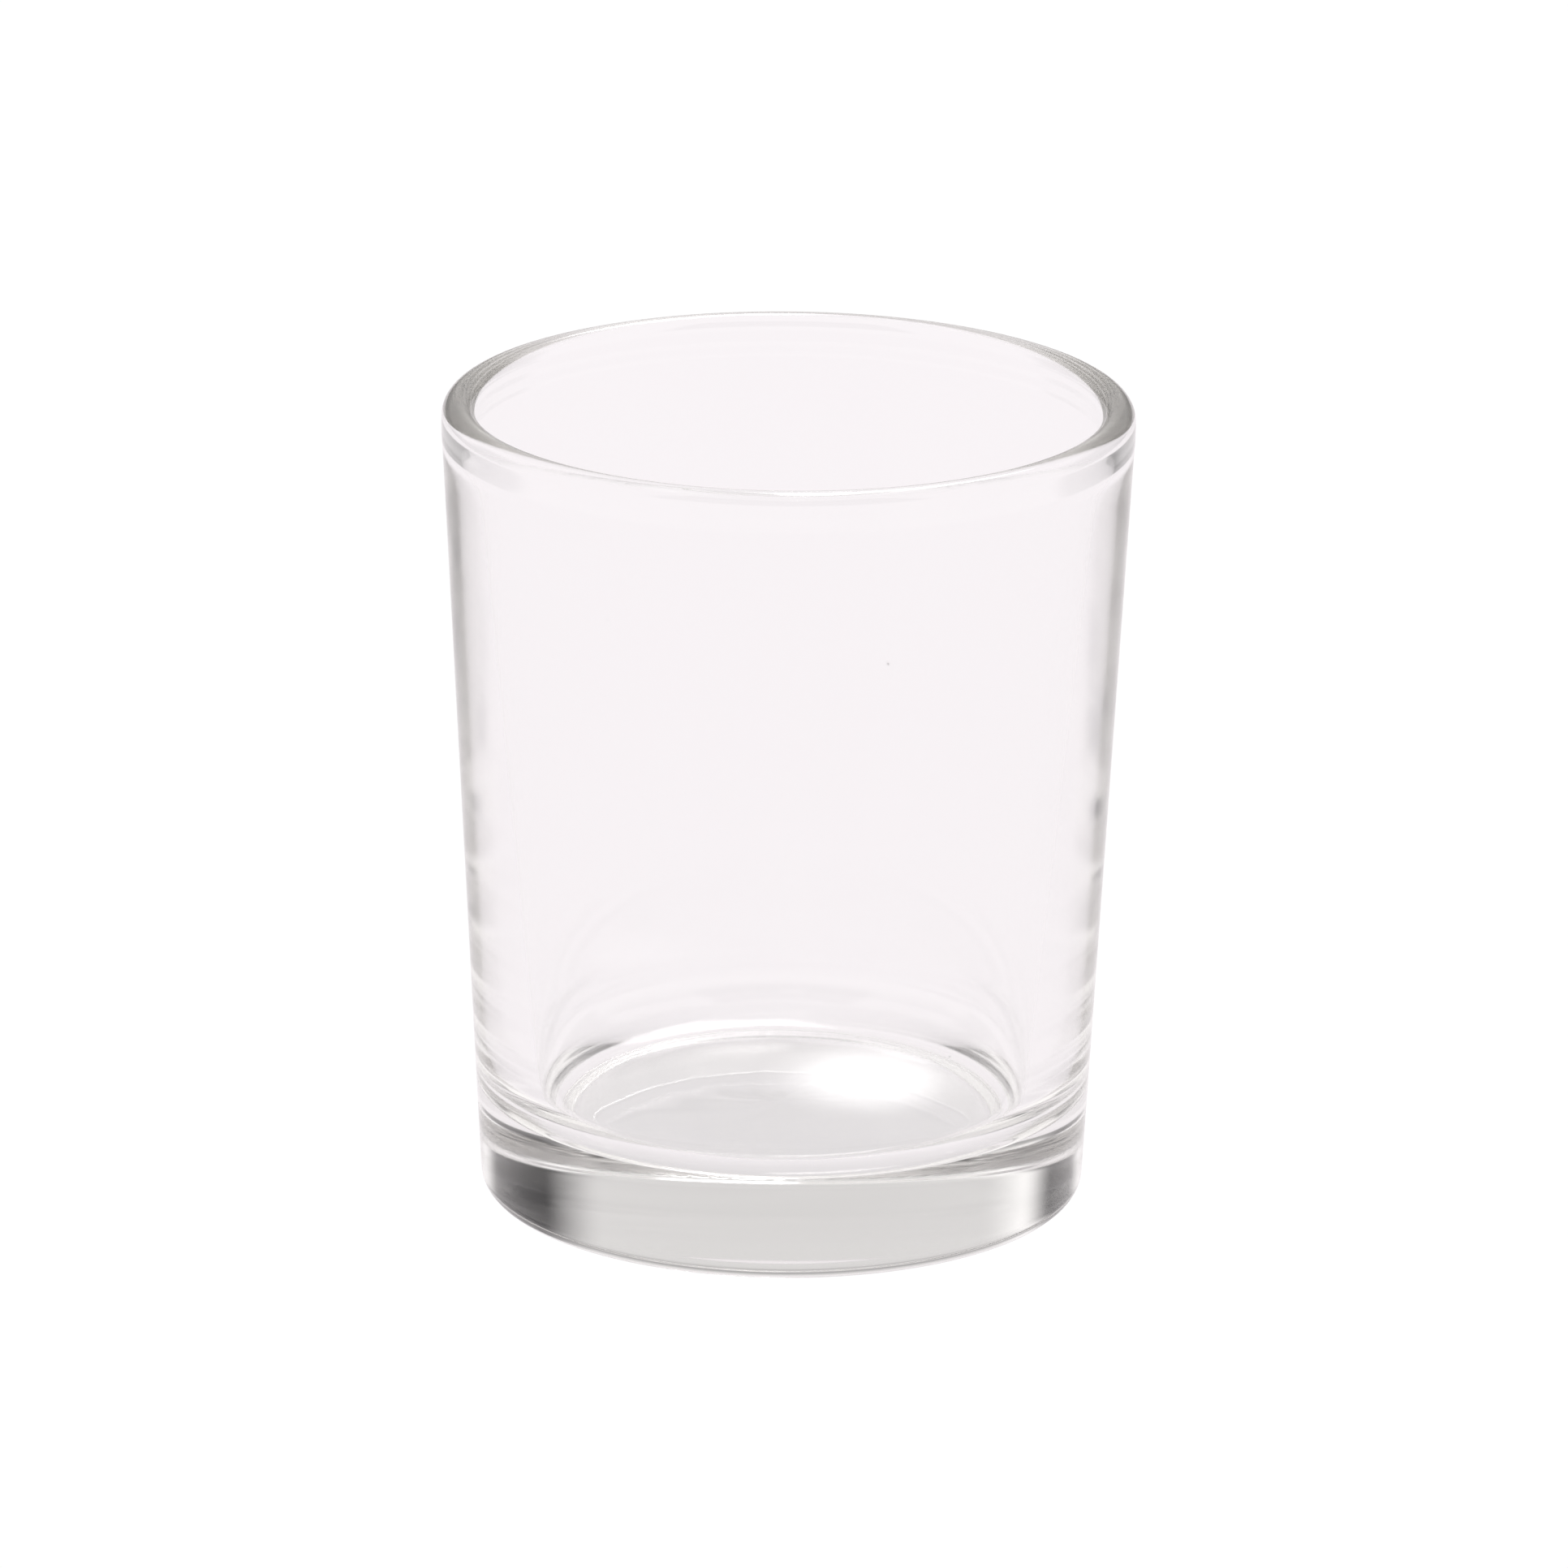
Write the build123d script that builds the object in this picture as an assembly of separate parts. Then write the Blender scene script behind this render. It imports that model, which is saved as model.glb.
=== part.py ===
from build123d import *
import math
import os

# Tealight holder: one pressed glass tumbler with a thick base, a tapered wall and a rounded lip.
# Millimetres, +Z up. The origin is on the axis of the glass, at the plane that it stands on.

# Driving dimensions
HEIGHT = 65.7
MOUTH_DIAMETER = 55.0  # over the rounded bead at the mouth
FOOT_DIAMETER = 48.2  # where the outside taper meets the standing plane
FLOOR_HEIGHT = 7.2  # height of the flat middle of the floor
BASE_WALL = 4.8  # wall thickness at the height of the floor: the inside tapers more than the outside

# Bead at the mouth, a little wider than the wall under it
LIP_WIDTH = 2.7
NECK_DEPTH = 3.0  # the wall draws in over this height under the bead
NECK_OUTSIDE = 0.12  # how far it draws in on the outside
NECK_INSIDE = 0.25  # and on the inside

# Corner radii
FOOT_RADIUS = 1.9
FLOOR_RADIUS = 4.6

# Underside: a flat ring to stand on, round a shallow dish
RING_INNER_DIAMETER = 39.0
DISH_DEPTH = 0.2

TEALIGHT_DIAMETER = 38.0  # the standard candle cup that the glass holds
TEALIGHT_RISE = 2.0  # it may stand this far over the floor, on the rounded corner

# The bead's side points, and the points where the straight walls end under it
bead_height = HEIGHT - LIP_WIDTH / 2
bead_outside = (MOUTH_DIAMETER / 2, bead_height)
bead_inside = (MOUTH_DIAMETER / 2 - LIP_WIDTH, bead_height)
neck_height = bead_height - NECK_DEPTH
wall_outside = (bead_outside[0] - NECK_OUTSIDE, neck_height)
wall_inside = (bead_inside[0] + NECK_INSIDE, neck_height)

# The straight walls: radius gained per mm of height
outside_taper = (wall_outside[0] - FOOT_DIAMETER / 2) / neck_height
floor_corner = (FOOT_DIAMETER / 2 + outside_taper * FLOOR_HEIGHT - BASE_WALL, FLOOR_HEIGHT)
inside_taper = (wall_inside[0] - floor_corner[0]) / (neck_height - FLOOR_HEIGHT)

def half_section():
    """Right half of the glass's section, on the XZ plane, with its corners rounded."""
    foot_corner = (FOOT_DIAMETER / 2, 0)
    ring_inner = (RING_INNER_DIAMETER / 2, 0)
    dish_centre = (0, DISH_DEPTH)
    bead_centre = (MOUTH_DIAMETER / 2 - LIP_WIDTH / 2, bead_height)

    with BuildSketch(Plane.XZ) as section:
        with BuildLine():
            Polyline((0, FLOOR_HEIGHT), floor_corner, wall_inside)
            Spline(wall_inside, bead_inside, tangents=[(inside_taper, 1), (0, 1)])
            CenterArc(bead_centre, LIP_WIDTH / 2, 0, 180)
            Spline(wall_outside, bead_outside, tangents=[(outside_taper, 1), (0, 1)])
            Polyline(wall_outside, foot_corner, ring_inner)
            TangentArc(dish_centre, ring_inner, tangent=(1, 0))
            Line(dish_centre, (0, FLOOR_HEIGHT))
        make_face()
        for corner, radius in ((floor_corner, FLOOR_RADIUS), (foot_corner, FOOT_RADIUS)):
            fillet(section.vertices().sort_by_distance(corner)[0], radius)
    return section.sketch

def glass_cup():
    """The whole glass: its half section turned about Z."""
    return revolve(half_section(), axis=Axis.Z)

def inside_radius_in_corner(rise):
    """Radius of the inside at a height above the floor that is within its rounded corner."""
    half_corner = (math.pi / 2 - math.atan(inside_taper)) / 2
    flat_radius = floor_corner[0] - FLOOR_RADIUS * math.tan(half_corner)
    return flat_radius + math.sqrt(FLOOR_RADIUS**2 - (FLOOR_RADIUS - rise) ** 2)

assert 2 * inside_radius_in_corner(TEALIGHT_RISE) >= TEALIGHT_DIAMETER, "the tealight would stand too high"

os.makedirs("parts", exist_ok=True)
export_step(glass_cup(), "parts/glass_cup.step")
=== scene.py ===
import math

import bmesh
import bpy
from mathutils import Matrix, Vector


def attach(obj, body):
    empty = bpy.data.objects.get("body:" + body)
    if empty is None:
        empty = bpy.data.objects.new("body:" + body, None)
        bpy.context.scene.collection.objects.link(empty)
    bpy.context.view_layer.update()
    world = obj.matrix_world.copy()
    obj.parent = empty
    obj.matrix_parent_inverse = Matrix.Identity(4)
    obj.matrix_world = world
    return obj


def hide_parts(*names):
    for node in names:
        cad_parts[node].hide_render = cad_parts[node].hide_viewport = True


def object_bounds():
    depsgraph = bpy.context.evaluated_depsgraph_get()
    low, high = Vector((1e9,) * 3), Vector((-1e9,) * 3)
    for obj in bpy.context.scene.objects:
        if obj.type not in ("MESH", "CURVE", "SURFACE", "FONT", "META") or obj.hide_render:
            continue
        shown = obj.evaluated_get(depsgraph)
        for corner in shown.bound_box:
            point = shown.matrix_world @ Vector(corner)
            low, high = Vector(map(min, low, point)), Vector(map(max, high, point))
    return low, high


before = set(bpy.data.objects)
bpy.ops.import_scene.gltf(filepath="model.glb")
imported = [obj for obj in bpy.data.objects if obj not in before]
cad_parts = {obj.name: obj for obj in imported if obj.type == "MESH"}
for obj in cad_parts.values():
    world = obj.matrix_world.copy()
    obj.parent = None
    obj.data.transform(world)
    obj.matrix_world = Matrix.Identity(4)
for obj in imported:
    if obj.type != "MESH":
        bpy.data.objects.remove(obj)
cadLow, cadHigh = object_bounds()
print("frame loaded:", sorted(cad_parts))

mm = 0.001


class Wire:
    # one socket of a node tree; sums and products on it add Math nodes
    def __init__(self, shader, socket):
        self.shader = shader
        self.socket = socket

    def maths(self, operation, first, second):
        made = self.shader.node("ShaderNodeMath", {"operation": operation}, {0: first, 1: second})
        return made("Value")

    def __add__(self, other):
        return self.maths("ADD", self, other)

    def __radd__(self, other):
        return self.maths("ADD", other, self)

    def __sub__(self, other):
        return self.maths("SUBTRACT", self, other)

    def __rsub__(self, other):
        return self.maths("SUBTRACT", other, self)

    def __mul__(self, other):
        return self.maths("MULTIPLY", self, other)

    def __rmul__(self, other):
        return self.maths("MULTIPLY", other, self)


class Shader:
    # a node tree that is filled by node(): type, then settings, then the values or links of its sockets
    def __init__(self, tree):
        self.tree = tree
        tree.nodes.clear()

    def node(self, kind, settings=None, sockets=None):
        made = self.tree.nodes.new(kind)
        for name, value in (settings or {}).items():
            setattr(made, name, value)
        for name, value in (sockets or {}).items():
            if isinstance(value, Wire):
                self.tree.links.new(value.socket, made.inputs[name])
            else:
                made.inputs[name].default_value = value
        return lambda output: Wire(self, made.outputs[output])


# the camera: high and far, with a long lens
view = {
    "target": (-0.09 * mm, 0, 33.8 * mm),
    "distance": 1.05,
    "elevation": 17.42,
    "roll": 0.55,
    "lens": 301.8,
    "sensor": 36,
    "clip": (0.01, 20),
}


def placeCamera():
    data = bpy.data.cameras.new("camera")
    data.sensor_width = view["sensor"]
    data.lens = view["lens"]
    data.clip_start, data.clip_end = view["clip"]
    camera = bpy.data.objects.new("camera", data)
    bpy.context.scene.collection.objects.link(camera)
    tilt = math.radians(view["elevation"])
    back = Vector((0, -math.cos(tilt), math.sin(tilt)))
    camera.location = Vector(view["target"]) + back * view["distance"]
    aim = (-back).to_track_quat("-Z", "Y").to_matrix()
    camera.rotation_euler = (aim @ Matrix.Rotation(math.radians(view["roll"]), 3, "Z")).to_euler()
    bpy.context.scene.camera = camera


placeCamera()
print("camera placed")


# the glass: one outline from the axis inside, over the bead, to the axis underneath
glass = {
    "footRadius": 24.1 * mm,
    "lipWidth": 2.7 * mm,  # the rounded bead round the mouth
    "neckDepth": 3.0 * mm,  # how far under the bead the walls draw in
    "neckOutside": 0.12 * mm,
    "neckInside": 0.25 * mm,
    "baseWall": 4.8 * mm,
    "floorHeight": 7.2 * mm,
    "footRounding": 1.9 * mm,
    "floorRounding": 4.6 * mm,
    "ringInner": 19.5 * mm,
    "dishDepth": 0.2 * mm,
    "knurlDepth": 0.12 * mm,  # dimples pressed into the two edges of the standing ring
    "knurlReach": 0.45 * mm,  # how far they run out on either side of their middle
    "knurlFromInner": 0.3 * mm,
    "knurlFromOuter": 0.1 * mm,
    "floorRipple": 0.012 * mm,  # unevenness left inside by the pressing plunger, less of it on the wall
    "wallRipple": 0.0003 * mm,
    "rippleStart": 4 * mm,  # no ripple at the axis, all of it from here outwards
    "turns": 432,
    "arcSteps": 14,
    "neckSteps": 14,
    "wallSteps": 28,
    "floorSteps": 18,
    "ringSteps": 10,
}


def roundedCorner(before, corner, after, radius, steps):
    # points of the arc that rounds one corner of an outline
    toBefore = (before - corner).normalized()
    toAfter = (after - corner).normalized()
    half = toBefore.angle(toAfter) / 2
    centre = corner + (toBefore + toAfter).normalized() * (radius / math.sin(half))
    start = corner + toBefore * (radius / math.tan(half)) - centre
    end = corner + toAfter * (radius / math.tan(half)) - centre
    sweep = start.angle(end)
    points = []
    for step in range(steps + 1):
        part = step / steps
        along = start * math.sin(sweep * (1 - part)) + end * math.sin(sweep * part)
        points.append(centre + along / math.sin(sweep))
    return points


def straight(start, end, steps):
    # points between two ends, without the ends
    return [start.lerp(end, step / steps) for step in range(1, steps)]


def neck(wallFoot, wallTop, beadSide, steps):
    # points of the smooth bend from the straight wall up to the side of the bead
    points = []
    for step in range(steps):
        share = step / steps
        height = wallTop.y + (beadSide.y - wallTop.y) * share
        wall = wallFoot.lerp(wallTop, (height - wallFoot.y) / (wallTop.y - wallFoot.y))
        points.append(wall.lerp(Vector((beadSide.x, height)), share * share * (3 - 2 * share)))
    return points


def glassOutline():
    height = cadHigh.z - cadLow.z
    bead = glass["lipWidth"] / 2
    beadCentre = Vector((cadHigh.x - bead, height - bead))
    neckHeight = beadCentre.y - glass["neckDepth"]
    outsideTop = Vector((cadHigh.x - glass["neckOutside"], neckHeight))
    insideTop = Vector((cadHigh.x - glass["lipWidth"] + glass["neckInside"], neckHeight))
    footCorner = Vector((glass["footRadius"], 0))
    outsideAtFloor = footCorner.lerp(outsideTop, glass["floorHeight"] / neckHeight)
    floorCorner = outsideAtFloor - Vector((glass["baseWall"], 0))
    floorCentre = Vector((0, glass["floorHeight"]))
    ringInner = Vector((glass["ringInner"], 0))

    arcSteps = glass["arcSteps"]
    floorArc = roundedCorner(floorCentre, floorCorner, insideTop, glass["floorRounding"], arcSteps)
    footArc = roundedCorner(outsideTop, footCorner, ringInner, glass["footRounding"], arcSteps)
    insideNeck = neck(floorCorner, insideTop, beadCentre - Vector((bead, 0)), glass["neckSteps"])
    outsideNeck = neck(footCorner, outsideTop, beadCentre + Vector((bead, 0)), glass["neckSteps"])

    outline = [floorCentre] + straight(floorCentre, floorArc[0], glass["floorSteps"]) + floorArc
    outline += straight(floorArc[-1], insideTop, glass["wallSteps"])
    insideCount = len(outline)
    outline += insideNeck
    for step in range(2 * arcSteps + 1):
        turn = math.pi * step / (2 * arcSteps)
        outline.append(beadCentre + Vector((-math.cos(turn), math.sin(turn))) * bead)
    outline += outsideNeck[::-1] + straight(outsideTop, footArc[0], glass["wallSteps"]) + footArc
    outline += straight(footArc[-1], ringInner, glass["ringSteps"])
    for step in range(glass["floorSteps"] + 1):
        across = 1 - step / glass["floorSteps"]
        outline.append(Vector((ringInner.x * across, glass["dishDepth"] * (1 - across ** 4))))
    return outline, insideCount


def knurl(radius, height, turn):
    # height of the dimples in the standing ring: every other meridian, near the ring's two edges
    ringOuter = glass["footRadius"] - glass["footRounding"]
    if height > 0.5 * glass["dishDepth"] or radius < glass["ringInner"] - glass["knurlFromOuter"]:
        return 0
    fromInner = abs(radius - glass["ringInner"] - glass["knurlFromInner"])
    fromOuter = abs(radius - ringOuter - glass["knurlFromOuter"])
    nearness = max(0, 1 - min(fromInner, fromOuter) / glass["knurlReach"])
    return glass["knurlDepth"] * (turn % 2) * nearness


def ripple(angle, radius, height):
    # a slow unevenness of the inside: three waves that wind round the axis, weaker up the wall
    slow = math.sin(3 * angle + radius / (2.1 * mm)) + math.sin(5 * angle - height / (3.7 * mm) + 1.3)
    quick = math.sin(11 * angle + radius / (1.3 * mm) + height / (2.3 * mm))
    upWall = min(1, max(0, height - glass["floorHeight"]) / glass["floorRounding"])
    depth = glass["floorRipple"] + (glass["wallRipple"] - glass["floorRipple"]) * upWall
    return depth * (slow + 0.5 * quick)


def turnOutline(outline, insideCount, turns):
    # a closed mesh: the outline turned about Z, with one vertex at each end on the axis
    mesh = bmesh.new()
    rings = []
    for index, point in enumerate(outline):
        if point.x < 1e-7:
            rings.append([mesh.verts.new((0, 0, point.y))])
            continue
        inside = min(1, point.x / glass["rippleStart"]) if index < insideCount else 0
        ring = []
        for turn in range(turns):
            angle = 2 * math.pi * turn / turns
            shift = inside * ripple(angle, point.x, point.y)
            radius = point.x + shift
            height = point.y + shift + knurl(point.x, point.y, turn) * (index > insideCount)
            ring.append(mesh.verts.new((radius * math.cos(angle), radius * math.sin(angle), height)))
        rings.append(ring)
    for inner, outer in zip(rings, rings[1:]):
        for turn in range(turns):
            after = (turn + 1) % turns
            corners = [inner[turn % len(inner)], outer[turn % len(outer)]]
            corners += [outer[after % len(outer)], inner[after % len(inner)]]
            mesh.faces.new(list(dict.fromkeys(corners)))
    bmesh.ops.recalc_face_normals(mesh, faces=mesh.faces)
    for face in mesh.faces:
        face.smooth = True
    return mesh


def makeGlass():
    outline, insideCount = glassOutline()
    mesh = turnOutline(outline, insideCount, glass["turns"])
    data = bpy.data.meshes.new("tealightGlass")
    mesh.to_mesh(data)
    mesh.free()
    piece = bpy.data.objects.new("tealightGlass", data)
    bpy.context.scene.collection.objects.link(piece)
    return piece


glassFinish = {
    "ior": 1.52,
    "tint": (0.51, 0.49, 0.44, 1),
    "tintDensity": 4.6,
    "polish": 0.035,  # what is left to roughness by fire polishing
    "waveScale": 55,  # faint waviness of pressed glass
    "waveDepth": 0.012 * mm,
    "waveStrength": 0.2,
    "grainScale": 1400,  # scuffed grain of the standing ring
    "grainHeight": 0.3 * mm,  # it fades out upwards over this, and inwards over the next
    "grainEdge": 0.4 * mm,
    "grainRoughness": 0.3,
    "speckScale": 115,  # tiny specks and seeds, a few on the whole glass
    "speckSize": 0.016,
    "speckTone": (0.25, 0.25, 0.24, 1),
}


def ringGrain(shader, place):
    # roughness: the polish everywhere, and a grain on the standing ring
    parts = shader.node("ShaderNodeSeparateXYZ", {}, {0: place})
    flat = shader.node("ShaderNodeVectorMath", {"operation": "MULTIPLY"}, {0: place, 1: (1, 1, 0)})("Vector")
    radius = shader.node("ShaderNodeVectorMath", {"operation": "LENGTH"}, {0: flat})("Value")
    onRing = shader.node("ShaderNodeMapRange", {"interpolation_type": "SMOOTHSTEP"}, {
        "Value": radius,
        "From Min": glass["ringInner"] - glassFinish["grainEdge"],
        "From Max": glass["ringInner"],
    })("Result")
    low = shader.node("ShaderNodeMapRange", {"interpolation_type": "SMOOTHSTEP"}, {
        "Value": parts("Z"),
        "From Min": 0.0,
        "From Max": glassFinish["grainHeight"],
        "To Min": 1.0,
        "To Max": 0.0,
    })("Result")
    grain = shader.node("ShaderNodeTexNoise", {}, {"Vector": place, "Scale": glassFinish["grainScale"]})("Fac")
    return glassFinish["polish"] + onRing * low * grain * glassFinish["grainRoughness"]


def specks(shader, place):
    # clear glass with a dark fleck wherever the centre of a cell happens to lie in the surface
    away = shader.node("ShaderNodeTexVoronoi", {}, {"Vector": place, "Scale": glassFinish["speckScale"]})("Distance")
    clear = shader.node("ShaderNodeMapRange", {}, {
        "Value": away,
        "From Min": 0.5 * glassFinish["speckSize"],
        "From Max": glassFinish["speckSize"],
    })("Result")
    return shader.node("ShaderNodeMix", {"data_type": "RGBA"}, {
        "Factor": clear,
        6: glassFinish["speckTone"],
        7: (1, 1, 1, 1),
    })(2)


def glassMaterial():
    material = bpy.data.materials.new("clearGlass")
    material.use_nodes = True
    shader = Shader(material.node_tree)
    place = shader.node("ShaderNodeTexCoord")("Object")
    wave = shader.node("ShaderNodeTexNoise", {}, {"Vector": place, "Scale": glassFinish["waveScale"]})("Fac")
    bumped = shader.node("ShaderNodeBump", {}, {
        "Height": wave,
        "Distance": glassFinish["waveDepth"],
        "Strength": glassFinish["waveStrength"],
    })("Normal")
    surface = shader.node("ShaderNodeBsdfPrincipled", {}, {
        "Base Color": specks(shader, place),
        "Roughness": ringGrain(shader, place),
        "Normal": bumped,
        "IOR": glassFinish["ior"],
        "Transmission Weight": 1.0,
    })
    body = shader.node("ShaderNodeVolumeAbsorption", {}, {
        "Color": glassFinish["tint"],
        "Density": glassFinish["tintDensity"],
    })
    shader.node("ShaderNodeOutputMaterial", {}, {"Surface": surface("BSDF"), "Volume": body("Volume")})
    return material


tumbler = makeGlass()
tumbler.data.materials.append(glassMaterial())
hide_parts("glass_cup")
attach(tumbler, "root")
print("glass made:", len(tumbler.data.polygons), "faces")


# a plain pale table that glows evenly white to the camera, with a painted shade and a painted pool of light under
# the base that show only through the glass
table = {
    "radius": 3.0,
    "seenGlow": (1.02, 1.02, 1.02, 1),  # what the camera sees of it: clean white
    "glow": (0.955, 0.915, 0.935, 1),  # the light it sends into the glass, faintly pink
    "paintedUnderShade": (0.77, 0.745, 0.755, 1),  # painted shade under the base, seen only through the glass
    "paintedUnderShadeSize": (15 * mm, 25 * mm),
    "paintedLightPool": (0.75, 0.75, 0.75, 1),  # painted pool of light under the base, in place of the light the glass would gather there
    "paintedLightPoolPlace": (7.3 * mm, 11.0 * mm),
    "paintedLightPoolSize": 10.5 * mm,
    "gap": 0.02 * mm,
    "segments": 96,
}


def makeTable():
    mesh = bmesh.new()
    bmesh.ops.create_circle(mesh, cap_ends=True, segments=table["segments"], radius=table["radius"])
    data = bpy.data.meshes.new("table")
    mesh.to_mesh(data)
    mesh.free()
    top = bpy.data.objects.new("table", data)
    bpy.context.scene.collection.objects.link(top)
    top.location.z = cadLow.z - table["gap"]
    material = bpy.data.materials.new("tableTop")
    material.use_nodes = True
    shader = Shader(material.node_tree)
    place = shader.node("ShaderNodeTexCoord")("Object")
    # painted pool of light: a soft bright disc added to the table's glow under the base
    fromPaintedLightPool = shader.node("ShaderNodeVectorMath", {"operation": "DISTANCE"}, {
        0: place,
        1: (table["paintedLightPoolPlace"][0], table["paintedLightPoolPlace"][1], 0),
    })("Value")
    spot = shader.node("ShaderNodeMapRange", {"interpolation_type": "SMOOTHERSTEP"}, {
        "Value": fromPaintedLightPool,
        "From Min": 0.0,
        "From Max": table["paintedLightPoolSize"],
        "To Min": 1.0,
        "To Max": 0.0,
    })("Result")
    # painted shade: the table's glow is darker in a soft disc under the base
    fromMiddle = shader.node("ShaderNodeVectorMath", {"operation": "LENGTH"}, {0: place})("Value")
    outsidePaintedShade = shader.node("ShaderNodeMapRange", {"interpolation_type": "SMOOTHSTEP"}, {
        "Value": fromMiddle,
        "From Min": table["paintedUnderShadeSize"][0],
        "From Max": table["paintedUnderShadeSize"][1],
    })("Result")
    paintedTableTone = shader.node("ShaderNodeMix", {"data_type": "RGBA"}, {
        "Factor": outsidePaintedShade,
        6: table["paintedUnderShade"],
        7: table["glow"],
    })(2)
    paintedTableTone = shader.node("ShaderNodeMix", {"data_type": "RGBA", "blend_type": "ADD"}, {
        "Factor": spot,
        6: paintedTableTone,
        7: table["paintedLightPool"],
    })(2)
    # the camera sees only clean white; the painted shade and painted pool of light show only through the glass
    seen = shader.node("ShaderNodeLightPath")("Is Camera Ray")
    glow = shader.node("ShaderNodeMix", {"data_type": "RGBA"}, {
        "Factor": seen,
        6: paintedTableTone,
        7: table["seenGlow"],
    })(2)
    light = shader.node("ShaderNodeEmission", {}, {"Color": glow, "Strength": 1.0})
    shader.node("ShaderNodeOutputMaterial", {}, {"Surface": light("Emission")})
    data.materials.append(material)


# the room round the table: each patch is a soft-edged part of the surroundings, laid over the ones before it
# turn is degrees right of the glass's back, rise is degrees over the table, width and height are half angles
room = {
    "base": 1.2,
    "air": (1.0, 0.98, 0.975, 1),
    "bounces": 96,  # light is guided a long way round inside the glass
    "patches": {
        "back": {"turn": 0, "rise": 16, "width": 40, "height": 26, "soft": 8, "tone": 0.76},
        "backHorizon": {"turn": 0, "rise": 0, "width": 72, "height": 9, "soft": 5, "tone": 0.4},
        "frontSide": {"turn": 180, "rise": 46, "width": 50, "height": 18, "soft": 6, "tone": 0.12},
        "rightGap": {"turn": 54, "rise": 15, "width": 19, "height": 13, "soft": 8, "tone": 0.0},
        "leftGap": {"turn": -63, "rise": 15, "width": 13, "height": 13, "soft": 7, "tone": 0.04},
        "softbox": {"turn": 12, "rise": 52, "width": 14, "height": 9, "soft": 3, "tone": 7.0},
    },
}


def softEdge(shader, angle, half, soft):
    return shader.node("ShaderNodeMapRange", {"interpolation_type": "SMOOTHSTEP"}, {
        "Value": angle,
        "From Min": half - soft,
        "From Max": half + soft,
        "To Min": 1.0,
        "To Max": 0.0,
    })("Result")


def lightStudio():
    world = bpy.data.worlds.new("studio")
    bpy.context.scene.world = world
    world.use_nodes = True
    shader = Shader(world.node_tree)
    toward = shader.node("ShaderNodeTexCoord")("Generated")
    level = shader.node("ShaderNodeVectorMath", {"operation": "MULTIPLY"}, {0: toward, 1: (1, 1, 0)})("Vector")
    level = shader.node("ShaderNodeVectorMath", {"operation": "NORMALIZE"}, {0: level})("Vector")
    height = shader.node("ShaderNodeSeparateXYZ", {}, {0: toward})("Z")
    toDegrees = math.degrees(1)
    rise = shader.node("ShaderNodeMath", {"operation": "ARCSINE"}, {0: height})("Value") * toDegrees
    tone = room["base"]
    for patch in room["patches"].values():
        turn = math.radians(patch["turn"])
        facing = shader.node("ShaderNodeVectorMath", {"operation": "DOT_PRODUCT"}, {
            0: level,
            1: (math.sin(turn), math.cos(turn), 0),
        })("Value")
        turned = shader.node("ShaderNodeMath", {"operation": "ARCCOSINE"}, {0: facing})("Value") * toDegrees
        raised = shader.node("ShaderNodeMath", {"operation": "ABSOLUTE"}, {0: rise - patch["rise"]})("Value")
        mask = softEdge(shader, raised, patch["height"], patch["soft"])
        mask = mask * softEdge(shader, turned, patch["width"], patch["soft"])
        tone = mask * patch["tone"] + (1 - mask) * tone
    air = shader.node("ShaderNodeBackground", {}, {"Color": room["air"], "Strength": tone})
    shader.node("ShaderNodeOutputWorld", {}, {"Surface": air("Background")})


makeTable()
print("table laid")
lightStudio()

scene = bpy.context.scene
scene.view_settings.view_transform = "Standard"
scene.view_settings.look = "None"
scene.cycles.max_bounces = room["bounces"]
scene.cycles.transmission_bounces = room["bounces"]
scene.cycles.glossy_bounces = room["bounces"]
scene.cycles.use_denoising = True
print("studio lit")
